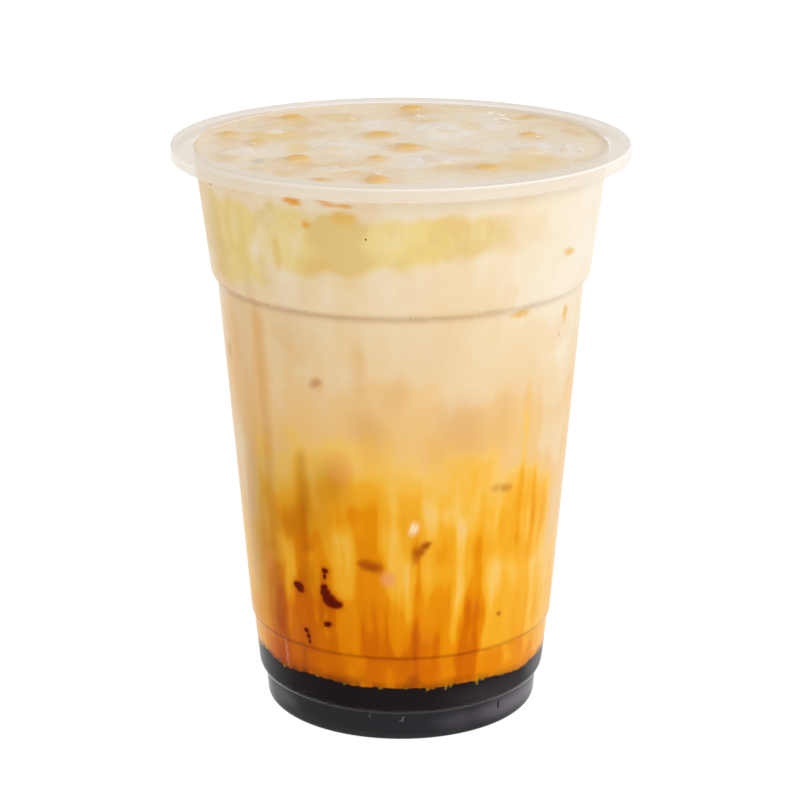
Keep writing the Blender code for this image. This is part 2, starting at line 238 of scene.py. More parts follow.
# Yellow cloud below the rim: angle, lower and upper end (mm), half width in degrees, strength.
YELLOWS = (
    (-58, 97, 115.4, 14, 0.75), (-50, 99, 115.4, 7, 0.85), (-33, 102, 116.5, 8, 0.75),
    (-20, 103, 114.8, 12, 0.8), (-8, 104, 114.5, 12, 0.75), (6, 105.4, 115.2, 12, 0.85),
    (19, 107, 115.5, 10, 0.65), (28, 107.5, 114.5, 8, 0.3), (36, 108, 113.5, 8, 0.18),
    (-36.5, 102, 110, 2, 0.5), (-41, 103, 115.4, 6, 0.6), (-20, 95, 103, 16, 0.3),
    (120, 99, 117, 22, 0.8), (165, 103, 116, 20, 0.6), (-120, 100, 117, 18, 0.7),
    (-90, 101, 117, 16, 0.7),
)

# Soft smears at the wall by kind: angle, height, width and height of the smear (mm), tilt in
# degrees, strength
SMEARS = {
    "ochre": (
        (61, 90.4, 2.2, 3, -20, 0.9), (61.5, 88.8, 1.2, 2, 0, 0.8), (38.5, 93, 5.4, 1.4, 2, 0.9),
        (55.8, 104, 4.2, 1.7, -6, 0.8), (-15.5, 115, 6.4, 2.6, -3, 0.9), (-36.5, 106, 2.2, 8, 0, 0.5),
        (-24, 104.6, 8, 3.4, 0, 0.3),
    ),
    "orange": (
        (-26.3, 113, 2, 1.6, 0, 0.9), (-29.8, 117.5, 4.4, 1.8, -4, 1), (-20, 117.7, 5, 0.9, -6, 0.9),
        (-15.2, 117.2, 3.6, 0.8, -6, 0.9), (0.5, 118.4, 3.4, 0.9, 0, 0.6), (96, 84, 2.6, 1.8, 10, 0.6),
        (-128, 88, 2.6, 1.8, 0, 0.6), (172, 113, 4.4, 1.3, 4, 0.7), (118, 116, 4, 1.2, 0, 0.6),
    ),
    "pink": (
        (-4.4, 38, 3.2, 3.4, -24, 0.8), (-55, 37, 4, 5, 0, 0.2), (-20, 62, 6, 7, 0, 0.35),
    ),
    "brown": (
        (-12.2, 41, 3.4, 2.8, -4, 0.9), (-9.4, 40.6, 4.4, 2.5, -6, 1), (8.3, 45.4, 2.6, 1.8, 24, 1),
        (5.6, 44, 2.9, 2.3, 0, 1), (5, 42.4, 1.8, 2.2, -10, 0.6), (37, 55.9, 3.8, 1.8, -4, 0.5),
        (33.2, 56.3, 2.4, 1.6, 0, 0.4), (-72, 80.5, 3.4, 3.6, 20, 0.35), (-27.5, 79.5, 3, 2, 24, 0.4),
        (-34, 43, 3, 2, 20, 0.4), (-22, 14.3, 12, 1.9, 0, 0.5), (-41, 14.6, 12, 3.2, 0, 0.5),
        (24, 14.3, 9, 1.2, 0, 0.35), (4.8, 14.2, 2.8, 4, 0, 0.9), (-29, 28.4, 1.2, 6, 0, 0.4),
        (38, 27.5, 1.2, 1.2, 0, 0.9), (58.5, 86, 0.8, 0.8, 0, 0.5), (151, 38, 3.6, 1.8, 6, 0.8),
        (-170, 43, 3.2, 1.6, -6, 0.8),
    ),
    # a pale spot in the drink, and a thin painted reflection of the plastic on the left
    "pale_and_reflection": (
        (4.2, 49.3, 2, 2, 0, 1), (-49.3, 17, 0.5, 8, 0, 0.22),
    ),
}
SMEAR_COLOURS = {
    "ochre": (228, 184, 92), "orange": (232, 162, 66), "pink": (233, 152, 92), "brown": (172, 80, 8),
    "pale_and_reflection": (246, 226, 188),
}
# Crisp dark drops of syrup at the wall: angle, height, width and height (mm), tilt in degrees
DROPS = (
    (-28, 34.6, 2, 1.8, 0), (-27.6, 33.4, 2.6, 2.6, 0), (-26.4, 32.1, 3.4, 3, 0),
    (-24.8, 31.4, 3.4, 2.8, 0), (-23.4, 31.3, 2.8, 2.2, 0), (-38.6, 33.4, 2.8, 2.5, 0),
    (-40, 33.8, 2, 1.6, 0), (-27.4, 38.5, 1.5, 1.5, 0), (-27.6, 37.2, 0.8, 1.6, 0),
    (-27.6, 26.3, 1.7, 1.4, 0), (-26.6, 26.6, 1.2, 1, 0), (-36.8, 23.8, 1.5, 1.3, 0),
    (-36, 22.6, 1.1, 1.3, 0), (-35.6, 21.4, 0.7, 1.1, 0), (104, 33, 2.8, 1.9, 14),
    (106, 32, 1.8, 1.6, 0), (107.6, 31.4, 1.4, 1.2, 0), (128, 27, 1.8, 1.3, -8),
    (126.6, 27.6, 1.2, 1.2, 0), (-112, 35, 2.4, 1.6, -10), (-110.6, 34, 2, 1.8, 0),
    (-109.8, 32.8, 1.2, 1.6, 0), (-146, 29, 2, 1.5, 18), (-144, 30, 1.6, 1.2, 0),
    (178, 33, 2.4, 1.5, 0), (-180, 32, 2.2, 1.7, 0), (-178.6, 31, 1.5, 1.4, 0),
    (-9.4, 110.8, 0.36, 0.36, 0), (-64, 116.8, 0.36, 0.36, 0), (142, 108, 0.36, 0.36, 0),
)
# How brown the drink is round a drop. Drops no wider than a speck (mm) have no such halo.
DROP_HALO = 0.6
SPECK = 0.5
# Moulding marks on the foot, in the same form
FOOT_NOTCHES = ((44.5, 4.7, 0.7, 2.2, 3), (-138, 4.7, 0.7, 2.2, 0))
FOOT_TICKS = (
    (0.8, 5.3, 0.4, 1.1, -30), (0.2, 4.7, 1.1, 0.3, 0), (-12.8, 5.6, 0.3, 1, 0),
    (176, 4.4, 0.4, 1.1, 0),
)
DROP_COLOUR = (104, 22, 6)
DROP_STEPS = 20
DROP_RINGS = 5
DROP_RISE = 0.16 * MM
DROP_SINK = 0.02 * MM
MARK_RISE = 0.06 * MM
NOTCH_COLOUR = (14, 12, 14)
TICK_COLOUR = (88, 84, 88)

# Patches on the drink's surface by kind: x, y, half sizes (mm), turn in degrees, strength
PATCHES = {
    "white": (
        (19, 34, 4, 3, 0, 0.6), (-36, -19.5, 4, 8, 20, 0.4), (9, 14.5, 8, 12, 0, 0.8),
        (-12, -3.5, 9, 10, 0, 0.5), (6, -15.5, 8, 9, 0, 0.7), (27, -3.5, 9, 9, 0, 0.6),
        (8, -37.5, 14, 7, 0, 0.35), (-6, 22.5, 4, 8, 0, 0.5), (-28, -9.5, 6, 6, 0, 0.4),
        (-30, 16.5, 4, 7, 0, 0.4), (20, 22.5, 5, 9, 0, 0.5), (34, -8.5, 4, 6, 0, 0.6),
    ),
    "amber_top": (
        (-21.4, 19.9, 3.5, 8, 0, 0.7), (-25, 7, 8, 7, 0, 0.62), (-30, 2, 4, 4, 0, 0.7),
        (5, 26.7, 4, 5, 0, 0.5), (-13.7, -19.5, 9, 7, 0, 0.55), (-10, -30.6, 8, 5, 0, 0.5),
        (36, 14, 4, 10, 10, 0.5), (-15, 31, 9, 4, 0, 0.5), (3, 37, 10, 4.5, 0, 0.6),
        (27, 30, 6, 3, -20, 0.45), (34, 21, 5, 3, -30, 0.4), (-24, 27, 8, 5, 0, 0.5),
        (-24, 14.5, 12, 16, -10, 0.5), (-34, 4.5, 6, 14, 0, 0.4), (-20, -19.5, 11, 14, -20, 0.5),
        (-4, -31.5, 7, 13, 8, 0.42), (-2, 4.5, 9, 12, 10, 0.3), (15, -22.5, 12, 6, 15, 0.6),
        (0, 31.5, 9, 5, 0, 0.5), (-14, 28.5, 10, 6, 20, 0.5), (30, 18.5, 10, 9, -30, 0.3),
        (28, 8.5, 5, 5, 20, 0.45), (-23, -28.5, 4, 7, 0, 0.6), (12, -8.5, 6, 5, 0, 0.4),
        (-5, -13.5, 4, 5, 0, 0.4), (36, -15.5, 4, 5, 0, 0.4), (38, 12.5, 5, 10, 20, 0.3),
        (-11, 16.5, 3, 8, 0, 0.35), (-36, -13.5, 4, 9, 0, 0.4), (-20.7, -43.5, 4, 4, 0, 0.4),
    ),
    "yellow_top": (
        (-12.8, 27.6, 6, 5, 0, 0.5), (-23, 8, 6, 6, 0, 0.5), (7.7, -27.2, 6, 4, 0, 0.35),
        (26, -16.5, 9, 11, 0, 0.55), (-26, 7.5, 8, 6, 0, 0.6), (14, 20.5, 4, 8, 10, 0.4),
        (-21, -3.5, 3, 6, 0, 0.7), (8, 27.5, 4, 4, 0, 0.35), (-13, 0.5, 4, 5, 0, 0.2),
        (-24, 22.5, 4, 8, 0, 0.45), (4, -25.5, 10, 5, 0, 0.2),
    ),
    # greyish spots on the foam, the darkest a painted shadow in a hollow between ice and film
    "grey_and_shadow": (
        (-28.6, -16.3, 1.6, 4.2, -6, 0.6), (2, 32.5, 2, 3, 0, 0.3), (-21, 16.5, 1.5, 5, -10, 0.25),
    ),
}
PATCH_COLOURS = {
    "white": (246, 236, 222), "amber_top": (236, 196, 132), "yellow_top": (243, 209, 134),
    "grey_and_shadow": (206, 188, 158),
}
# White specks on the drink's surface, painted highlights that stand in for glints: x, y, half width (mm)
GLINT_SPECKS = (
    (19.4, 36, 0.5), (22, 33.5, 0.45), (3.6, 36.9, 0.4), (-10.5, 28.5, 0.4), (-4.5, -30.7, 0.42),
    (20.4, 28.7, 0.42), (22, 25.1, 0.55), (23, 24.1, 0.32), (23.8, 9.5, 0.3), (28.6, 7.3, 0.36),
    (24.6, -0.1, 0.42), (36.6, -8.3, 0.3), (29, -29, 0.45), (3.8, 31.9, 0.42), (4.8, 30.5, 0.3),
    (-30.5, 0.5, 0.24), (34, -20.7, 0.28), (7.4, -2.3, 0.24), (-24.8, -10.9, 0.22), (12, 16.5, 0.24),
    (-12, -1.3, 0.26), (6, -14.5, 0.24),
)
# Half sizes of a glint speck, in its half widths
GLINT_SPECK_SHAPE = (1.6, 1, 0.45)
# Amber film on the drink round each bead: strength and reach (mm)
BEAD_HALO = 0.58
HALO_REACH = 0.8
# Film of drink on ice and beads: full up to this height, and gone this far above it
WET_LEVEL = DRINK_LEVEL + 0.05 * MM
ICE_FILM = 0.5 * MM
BEAD_FILM = 0.8 * MM
# Depth of the fine unevenness of what is wet
BUMP_DEPTH = 0.1 * MM

# Stage, light and camera
SWEEP_SIZE = 4.0
SWEEP_GLOW = 0.97
SWEEP_DARK = (80, 80, 80)
SWEEP_LIGHT = (89, 89, 89)
WORLD_LIGHT = 0.74
KEY_PLACE = (1.0, -0.835, 0.81)
KEY_TARGET = (0, 0, 0.06)
KEY_SIZE = (0.7, 0.5)
KEY_POWER = 6.2
CAMERA_PLACE = (-0.0002, -0.5223, 0.2275)
CAMERA_PITCH = 17.2
FOCAL_PIXELS = 2568
PICTURE_PIXELS = 800
SENSOR = 36.0


def linear(colour):
    """Turns a colour as seen, out of 255, into the linear values that a shader takes."""
    values = [channel / 255 for channel in colour]
    curve = [v / 12.92 if v <= 0.04045 else ((v + 0.055) / 1.055) ** 2.4 for v in values]
    return (*curve, 1.0)


def smooth(low, high, value):
    share = np.clip((np.asarray(value, float) - low) / (high - low), 0, 1)
    return share * share * (3 - 2 * share)


def arc(start, end, steps, upright=False):
    """Quarter round from one (radius, height) point to another, without its start.

    It leaves its start level, or upright.
    """
    points = []
    for step in range(1, steps + 1):
        turn = math.pi / 2 * step / steps
        shares = (math.sin(turn), 1 - math.cos(turn))
        out, up = shares[::-1] if upright else shares
        points.append((start[0] + (end[0] - start[0]) * out, start[1] + (end[1] - start[1]) * up))
    return points


def wall_outline():
    """Outer side of the cup's wall from the heel to the neck, bottom to top."""
    foot_top = (FOOT_TOP_RADIUS, FOOT_HEIGHT)
    shoulder = (SHOULDER_RADIUS, FOOT_HEIGHT + SHOULDER_RISE)
    band_top = (BAND_RADIUS, BAND_HEIGHT)
    band_step = (BAND_RADIUS + BAND_STEP, BAND_HEIGHT + BAND_STEP_RISE)
    ledge_low = (LEDGE_LOWER_RADIUS, LEDGE_HEIGHT)
    ledge_high = (LEDGE_UPPER_RADIUS, LEDGE_HEIGHT + LEDGE_RISE)
    neck = (NECK_RADIUS, HEIGHT - FLANGE_THICKNESS)
    outline = [(FOOT_RADIUS, HEEL), foot_top] + arc(foot_top, shoulder, 8)
    outline += [band_top] + arc(band_top, band_step, 4) + [ledge_low]
    outline += arc(ledge_low, ledge_high, 10)
    outline.append(neck)
    return outline


OUTLINE = np.array(wall_outline())


def outer_radius(height):
    """Radius of the wall's outer side at a height or an array of heights."""
    return np.interp(height, OUTLINE[:, 1], OUTLINE[:, 0])


def drink_radius(height):
    floor_curve = np.maximum(0.0, FLOOR_HEIGHT + HEEL - height) * FLOOR_CURVE
    return outer_radius(height) - INTO_WALL - floor_curve


def angle_between(degrees, place):
    return (np.asarray(degrees) - place + 180) % 360 - 180


def lobe(degrees, place, width, power=2):
    """1 at an angle round the cup, falling off over a width."""
    return np.exp(-(angle_between(degrees, place) / width) ** power)


def on_wall(points):
    """Angle from the front in degrees, and height in mm, of each point."""
    return np.degrees(np.arctan2(points[:, 0], -points[:, 1])), points[:, 2] / MM


def linked(name, data):
    made = bpy.data.objects.new(name, data)
    bpy.context.collection.objects.link(made)
    return made


def mesh_object(name, verts, faces, material):
    mesh = bpy.data.meshes.new(name)
    mesh.from_pydata([tuple(v) for v in verts], [], [tuple(f) for f in faces])
    mesh.validate()
    mesh.update()
    mesh.materials.append(material)
    return linked(name, mesh)


def bmesh_object(name, bm, material):
    mesh = bpy.data.meshes.new(name)
    bm.to_mesh(mesh)
    bm.free()
    mesh.materials.append(material)
    mesh.shade_smooth()
    return linked(name, mesh)


def ring_faces(count, rings):
    """Faces of a closed body: a first point, rings of points, and a last point."""
    faces = []
    last = 1 + rings * count
    start = last - count
    for step in range(count):
        after = (step + 1) % count
        faces.append((0, 1 + after, 1 + step))
        faces.append((start + step, start + after, last))
        for ring in range(rings - 1):
            here = 1 + ring * count
            there = here + count
            faces.append((here + step, here + after, there + after, there + step))
    return faces


def finish_mesh(piece, angle=40):
    """Faces outwards, smooth shading and sharp corners."""
    bm = bmesh.new()
    bm.from_mesh(piece.data)
    bmesh.ops.remove_doubles(bm, verts=bm.verts, dist=1e-7)
    bmesh.ops.recalc_face_normals(bm, faces=bm.faces)
    bm.to_mesh(piece.data)
    bm.free()
    piece.data.shade_smooth()
    piece.data.set_sharp_from_angle(angle=math.radians(angle))


def hand_in(piece, slot, *nodes):
    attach(piece, "root")
    if nodes:
        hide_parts(*nodes)


def store(mesh, name, values):
    """Keeps one number for each point of the mesh, for its material to read."""
    made = mesh.attributes.new(name, "FLOAT", "POINT")
    made.data.foreach_set("value", np.asarray(values, dtype=np.float32))


class Nodes:
    """Short calls for building one material's nodes."""

    def __init__(self, name):
        self.material = bpy.data.materials.new(name)
        self.material.use_nodes = True
        self.tree = self.material.node_tree
        self.tree.nodes.clear()

    def put(self, socket, value):
        if isinstance(value, bpy.types.NodeSocket):
            self.tree.links.new(value, socket)
        else:
            socket.default_value = value

    def add(self, kind, settings=None, **inputs):
        node = self.tree.nodes.new(kind)
        for key, value in (settings or {}).items():
            setattr(node, key, value)
        for key, value in inputs.items():
            self.put(node.inputs[key.replace("_", " ")], value)
        return node

    def math(self, operation, first, second=0.0, clamp=False):
        node = self.add("ShaderNodeMath", {"operation": operation, "use_clamp": clamp})
        self.put(node.inputs[0], first)
        self.put(node.inputs[1], second)
        return node.outputs[0]

    def range(self, value, low, high, to_low=0.0, to_high=1.0):
        node = self.add("ShaderNodeMapRange", {"interpolation_type": "SMOOTHSTEP"})
        for index, item in enumerate((value, low, high, to_low, to_high)):
            self.put(node.inputs[index], item)
        return node.outputs[0]

    def attribute(self, name):
        return self.add("ShaderNodeAttribute", {"attribute_name": name}).outputs["Fac"]

    def ramp(self, value, stops):
        node = self.add("ShaderNodeValToRGB")
        elements = node.color_ramp.elements
        while len(elements) < len(stops):
            elements.new(0.5)
        for element, (place, colour) in zip(elements, stops):
            element.position = place
            element.color = linear(colour)
        self.put(node.inputs[0], value)
        return node.outputs[0]

    def mix(self, share, first, second, blend="MIX"):
        """Mixes two colours, each from another node or as seen, out of 255."""
        node = self.add("ShaderNodeMix", {"data_type": "RGBA", "blend_type": blend})
        self.put(node.inputs["Factor"], share)
        for name, colour in (("A", first), ("B", second)):
            self.put(node.inputs[name], linear(colour) if isinstance(colour, tuple) else colour)
        return node.outputs["Result"]

    def blend(self, share, first, second):
        """Mixes two shaders."""
        node = self.add("ShaderNodeMixShader")
        for socket, value in zip(node.inputs, (share, first.outputs[0], second.outputs[0])):
            self.put(socket, value)
        return node

    def noise(self, scale, detail=2.0, roughness=0.5, distortion=0.0, stretch=(1, 1, 1)):
        place = self.add("ShaderNodeTexCoord").outputs["Object"]
        scaled = self.add("ShaderNodeMapping", Vector=place, Scale=stretch)
        node = self.add("ShaderNodeTexNoise", Vector=scaled.outputs[0], Scale=scale, Detail=detail,
                        Roughness=roughness, Distortion=distortion)
        return node.outputs[0]

    def bump(self, height, strength):
        node = self.add("ShaderNodeBump", Strength=strength, Distance=BUMP_DEPTH, Height=height)
        return node.outputs[0]

    def surface(self, shader):
        output = self.add("ShaderNodeOutputMaterial")
        self.put(output.inputs["Surface"], shader)
        return self.material

    def plain(self, base, roughness, specular=0.5, **inputs):
        """Ends the material with one ordinary shader."""
        shader = self.add("ShaderNodeBsdfPrincipled", Base_Color=base, Roughness=roughness, **inputs)
        shader.inputs["Specular IOR Level"].default_value = specular
        return self.surface(shader.outputs[0])


# The drink's colours, from milk to the strongest amber
AMBER_STOPS = (
    (0, (239, 229, 212)), (0.12, (237, 221, 192)), (0.16, (235, 213, 177)), (0.27, (233, 203, 156)),
    (0.31, (233, 195, 137)), (0.4, (235, 191, 121)), (0.44, (240, 194, 102)), (0.52, (240, 182, 64)),
    (0.56, (239, 172, 44)), (0.65, (235, 160, 26)), (0.68, (230, 143, 10)), (0.78, (223, 128, 4)),
    (0.81, (212, 110, 2)), (0.9, (199, 95, 3)), (0.93, (182, 86, 8)), (1, (160, 76, 14)),
)


def drink_material():
    """Opaque drink at the wall: amber below, milky above, hanging in streaks with clean edges."""
    n = Nodes("drink_at_wall")
    tongues = n.noise(130, 2, 0.5, stretch=(1, 1, 0.16))
    fine = n.noise(420, 2, 0.6, stretch=(1, 1, 0.07))
    clouds = n.noise(75, 3, 0.55, stretch=(1, 1, 0.8))
    shift = n.range(tongues, 0.44, 0.56, -0.055, 0.055)
    shift = n.math("ADD", shift, n.range(fine, 0.4, 0.6, -0.02, 0.02))
    shift = n.math("MULTIPLY", shift, n.attribute("streaky"))
    shift = n.math("ADD", shift, n.range(clouds, 0.3, 0.7, -0.05, 0.05))
    amount = n.math("ADD", n.attribute("amber"), shift, clamp=True)
    base = n.ramp(amount, AMBER_STOPS)
    edge = n.math("ADD", n.attribute("yellow"), n.range(clouds, 0.3, 0.7, -0.16, 0.16))
    share = n.math("MULTIPLY", n.range(edge, 0.1, 0.85), 0.9)
    green = n.mix(n.range(clouds, 0.4, 0.6), (234, 208, 126), (224, 192, 120))
    base = n.mix(share, base, green)
    # Brownish tint of the drink, with painted shade on its left side
    base = n.mix(n.attribute("brownish_and_shade"), base, (226, 193, 150), "MULTIPLY")
    base = n.mix(n.attribute("shaded"), base, (150, 140, 138), "MULTIPLY")
    for kind, colour in SMEAR_COLOURS.items():
        base = n.mix(n.attribute(kind), base, colour)
    # Painted shade: a darker line along the creases at the ledge and at the band's step
    base = n.mix(n.attribute("crease_shade"), base, (176, 128, 74), "MULTIPLY")
    burnt = n.math("MULTIPLY", n.attribute("burnt"), n.range(fine, 0.35, 0.6, 0.25, 1.0))
    base = n.mix(burnt, base, (74, 36, 10))
    return n.plain(base, 0.6, 0.0)


def top_material():
    """The drink's upper side: cream with amber and yellow patches under a thin milky film."""
    n = Nodes("drink_surface")
    warp = n.noise(150, 3, 0.6, 0.4)
    wisps = n.noise(300, 3, 0.6, 0.8)
    edge = n.math("MULTIPLY", n.math("SUBTRACT", warp, 0.5), 1.1)
    base = n.mix(n.range(wisps, 0.3, 0.7), (243, 220, 183), (247, 228, 197))
    for name, colour in PATCH_COLOURS.items():
        amount = n.attribute(name)
        spread = n.math("MULTIPLY", edge, n.range(amount, 0.02, 0.3))
        share = n.range(n.math("ADD", amount, spread), 0.1, 0.75)
        base = n.mix(share, base, colour)
    height = n.noise(260, 2, 0.5)
    return n.plain(base, 0.25, 0.3, Normal=n.bump(height, 0.2))


def dark_material():
    n = Nodes("dark_syrup")
    cloud = n.noise(120, 3, 0.6, stretch=(1, 1, 0.4))
    base = n.mix(cloud, (24, 19, 20), (34, 28, 29))
    base = n.mix(n.attribute("foot"), base, (35, 31, 37))
    # Painted highlights on the foot, seen through the clear plastic in front of the dark layer
    base = n.mix(n.attribute("light"), base, (252, 240, 255))
    base = n.mix(n.attribute("wisp"), base, (150, 120, 40))
    return n.plain(base, 0.6, 0.0)


def cup_material():
    """Clear plastic: nearly invisible on the drink, milky in the flange, glossy all over.

    The thick foot ring takes the colour of the syrup above it. Painted highlights whiten it in places.
    """
    n = Nodes("cup_plastic")
    colour = n.mix(n.attribute("syrup"), (244, 234, 218), (30, 27, 32))
    # Painted highlights on the foot, the shoulder line and the flange's edge whiten the plastic
    lights = n.mix(n.attribute("syrup"), (255, 250, 242), (252, 240, 255))
    colour = n.mix(n.attribute("light"), colour, lights)
    milky = n.add("ShaderNodeBsdfPrincipled", Base_Color=colour, Roughness=0.5)
    milky.inputs["Specular IOR Level"].default_value = 0.0
    clear = n.add("ShaderNodeBsdfTransparent")
    clear.inputs["Color"].default_value = (1, 1, 1, 1)
    body = n.blend(n.attribute("haze"), clear, milky)
    shine = n.add("ShaderNodeBsdfGlossy", Roughness=n.range(n.attribute("syrup"), 0.0, 1.0, 0.08, 0.3))
    shine.inputs["Color"].default_value = (1, 1, 1, 1)
    facing = n.add("ShaderNodeLayerWeight")
    facing.inputs["Blend"].default_value = 0.5
    grazing = n.math("POWER", facing.outputs["Facing"], 5.0)
    least = n.math("ADD", n.math("MULTIPLY", n.attribute("syrup"), 0.012), 0.0012)
    mirror = n.math("ADD", n.math("MULTIPLY", grazing, 0.6), least)
    return n.surface(n.blend(mirror, body, shine).outputs[0])


def ice_material():
    n = Nodes("wet_ice")
    cloud = n.noise(240, 3, 0.6)
    base = n.mix(cloud, (247, 236, 220), (244, 228, 204))
    washed = n.noise(190, 3, 0.55, 0.5)
    base = n.mix(n.range(washed, 0.42, 0.62, 0.0, 0.8), base, (240, 214, 174))
    base = n.mix(n.attribute("film"), base, (246, 230, 204))
    height = n.noise(300, 2, 0.5)
    return n.plain(base, 0.12, IOR=1.31, Normal=n.bump(height, 0.4))


def bead_material():
    n = Nodes("amber_jelly")
    cloud = n.noise(260, 2, 0.5)
    base = n.mix(cloud, (240, 196, 112), (236, 182, 94))
    base = n.mix(n.attribute("film"), base, (242, 214, 164))
    return n.plain(base, 0.35, 0.3)


def drop_material():
    n = Nodes("syrup_drop")
    cloud = n.noise(700, 2, 0.5)
    darker = tuple(channel * 0.8 for channel in DROP_COLOUR)
    base = n.mix(cloud, DROP_COLOUR, darker)
    base = n.mix(n.attribute("edge"), base, (176, 66, 10))
    return n.plain(base, 0.6, 0.0)


def mark_material(name, colour):
    n = Nodes(name)
    cloud = n.noise(900, 2, 0.5)
    lighter = tuple(channel * 1.15 for channel in colour)
    base = n.mix(cloud, colour, lighter)
    return n.plain(base, 0.5, 0.1)


def glint_speck_material():
    n = Nodes("painted_glints")
    cloud = n.noise(900, 2, 0.5)
    base = n.mix(cloud, (255, 250, 242), (250, 242, 230))
    return n.plain(base, 0.15)


def floor_material():
    """White sweep that is lit evenly, with only a trace of shadow under the cup."""
    n = Nodes("white_sweep")
    speck = n.noise(14, 2, 0.5)
    base = n.mix(speck, SWEEP_DARK, SWEEP_LIGHT)
    return n.plain(base, 0.8, 0.0, Emission_Color=(1, 1, 1, 1), Emission_Strength=SWEEP_GLOW)


def dark_surface(angle, share):
    """Height of the top of the dark layer. share is 0 at the axis and 1 at the wall."""
    ripple = 0.45 * np.sin(5 * angle + 0.6) + 0.3 * np.sin(11 * angle)
    jag = 0.14 * np.sin(43 * angle + 1) * np.sin(17 * angle) + 0.08 * np.sin(97 * angle)
    degrees = np.degrees(angle) + 90
    for place, rise, width in DARK_SPOTS:
        ripple = ripple + rise * lobe(degrees, place, width)
    return DARK_TOP + (ripple + jag) * share * MM


def amber_surface(angle, share):
    """Height of the top of the amber layer, with tongues that grow towards the wall."""
    degrees = np.degrees(angle) + 90
    height = np.zeros_like(degrees)
    for place, rise, width in TONGUES:
        height = height + rise * lobe(degrees, place, width)
    return AMBER_TOP + height * share ** 2 * MM


def floor_surface(angle, share):
    return np.full_like(angle, FLOOR_HEIGHT - INTO_FLOOR)


def bump_round(x, y, items, reach, rise):
    """Height that the drink climbs where it wets the things that float in it."""
    lift = np.zeros_like(x)
    for at_x, at_y, half_x, half_y, *_ in items:
        far = np.hypot((x - at_x * MM) / (half_x * MM), (y - at_y * MM) / (half_y * MM))
        away = np.maximum(0, far - 0.8) * min(half_x, half_y) * MM
        lift = np.maximum(lift, rise * np.exp(-(away / reach) ** 2))
    return lift


def drink_surface(angle, share):
    """Height of the drink's upper side: low swells, and a climb at the wall, ice and beads."""
    radius = share * drink_radius(DRINK_LEVEL)
    x = radius * np.cos(angle)
    y = radius * np.sin(angle)
    swell = 0.16 * np.sin(3 * angle + 9 * share) + 0.12 * np.sin(5 * angle - 14 * share)
    small = 0.04 * np.sin(900 * x + 2) * np.sin(1100 * y) + 0.01 * np.sin(2100 * x - 900 * y)
    climb = 0.3 * np.exp(-((1 - share) * radius.max() / (1.2 * MM)) ** 2) if radius.max() > 0 else 0
    lift = bump_round(x, y, ICE, 1.4 * MM, 0.28) + bump_round(x, y, BEADS, 1.0 * MM, 0.28)
    return DRINK_LEVEL + (swell * share + small * np.minimum(1, share * 4) + climb + lift) * MM


def round_points(radius, angles, height):
    return np.stack([radius * np.cos(angles), radius * np.sin(angles), height], axis=1)


def ring_points(heights_at, share, angles, edge_height):
    height = heights_at(angles, np.full_like(angles, share))
    return round_points(share * drink_radius(edge_height), angles, height)


def layer_piece(name, bottom_at, top_at, top_shares, side_look, top_look=None, row=ROW):
    """A layer of drink: lower side, wall and upper side as one closed body."""
    angles = np.linspace(0, 2 * np.pi, COLUMNS, endpoint=False)
    ones = np.ones_like(angles)
    low = bottom_at(angles, ones)
    high = top_at(angles, ones)
    rings = [ring_points(bottom_at, share, angles, low) for share in INNER_SHARES]
    count = int(round((high.mean() - low.mean()) / row))
    for step in range(count + 1):
        height = low + (high - low) * step / count
        rings.append(round_points(drink_radius(height - row / 2), angles, height))
    wall_end = len(rings)
    rings += [ring_points(top_at, share, angles, high) for share in top_shares]
    zero = np.zeros(1)
    middle_low = [0, 0, float(bottom_at(zero, zero)[0])]
    middle_high = [0, 0, float(top_at(zero, zero)[0])]
    verts = np.concatenate([np.array([middle_low])] + rings + [np.array([middle_high])])
    piece = mesh_object(name, verts, ring_faces(COLUMNS, len(rings)), side_look)
    if top_look:
        piece.data.materials.append(top_look)
        for step in range(COLUMNS):
            first = step * (1 + len(rings))
            for face in (first + 1, *range(first + wall_end + 1, first + len(rings) + 1)):
                piece.data.polygons[face].material_index = 1
    return piece, verts


def band(degrees, heights, place, low, high, width, soft, crisp=5):
    """1 inside a streak, fading over its sides and its ends."""
    across = np.exp(-(np.abs(angle_between(degrees, place)) / (width * 1.1)) ** crisp)
    along = smooth(low - soft, low + soft, heights) * (1 - smooth(high - soft, high + soft, heights))
    return across * along


def back_streaks():
    """Streaks of the same kinds round the sides and the back."""
    rng = random.Random(BACK_SEED)
    made = []
    for index in range(BACK_STREAKS):
        place = BACK_START + index * (BACK_SPAN / BACK_STREAKS) + rng.uniform(-2, 2)
        draw = rng.random()
        ranges = next(kind[1:] for kind in BACK_KINDS if draw < kind[0])
        low, length, width, more = (rng.uniform(*limits) for limits in ranges)
        made.append((place, low, low + length, width, more))
    return made


def wobble(degrees, heights):
    """Small sideways wander of the streaks, the same all round."""
    turn = np.radians(degrees)
    wander = np.sin(heights * 0.21 + 5 * np.sin(turn * 3)) * 0.9
    wander += np.sin(heights * 0.57 + 9 * np.sin(turn * 2 + 1)) * 0.45
    return wander


